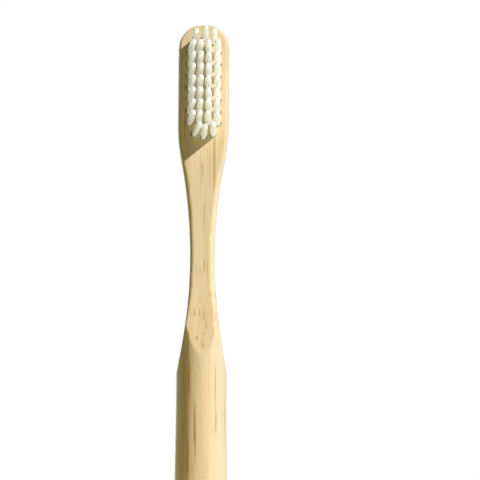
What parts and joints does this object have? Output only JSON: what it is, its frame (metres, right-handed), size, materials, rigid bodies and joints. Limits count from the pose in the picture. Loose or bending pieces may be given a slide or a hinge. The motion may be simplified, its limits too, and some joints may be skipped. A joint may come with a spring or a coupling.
{
  "type": "manual toothbrush",
  "caption": "Bamboo toothbrush with a round handle, a narrow milled neck, a flat rounded head and separate bristle tufts anchored in blind holes.",
  "frame": {"origin": "centre of the flat butt end of the handle", "axes": "+Z along the handle from the butt to the head, tufts towards -Y, +X to the right seen from the tufts"},
  "size_m": [0.0124, 0.0194, 0.19],
  "materials": {
    "bamboo": "sanded pale bamboo with fine lengthwise fibre flecks",
    "bristle": "off-white nylon filaments, slightly translucent",
    "anchor_metal": "plain cut strip"
  },
  "bodies": {
    "root": {"handle": "bamboo", "tuft_anchors": "anchor_metal", "tuft_row1_1": "bristle", "tuft_row1_2": "bristle", "tuft_row1_3": "bristle", "tuft_row2_1": "bristle", "tuft_row2_2": "bristle", "tuft_row2_3": "bristle", "tuft_row2_4": "bristle", "tuft_row3_1": "bristle", "tuft_row3_2": "bristle", "tuft_row3_3": "bristle", "tuft_row3_4": "bristle", "tuft_row4_1": "bristle", "tuft_row4_2": "bristle", "tuft_row4_3": "bristle", "tuft_row4_4": "bristle", "tuft_row5_1": "bristle", "tuft_row5_2": "bristle", "tuft_row5_3": "bristle", "tuft_row5_4": "bristle", "tuft_row6_1": "bristle", "tuft_row6_2": "bristle", "tuft_row6_3": "bristle", "tuft_row6_4": "bristle", "tuft_row7_1": "bristle", "tuft_row7_2": "bristle", "tuft_row7_3": "bristle", "tuft_row7_4": "bristle", "tuft_row8_1": "bristle", "tuft_row8_2": "bristle", "tuft_row8_3": "bristle", "tuft_row8_4": "bristle", "tuft_row9_1": "bristle", "tuft_row9_2": "bristle", "tuft_row9_3": "bristle"}
  },
  "joints": []
}
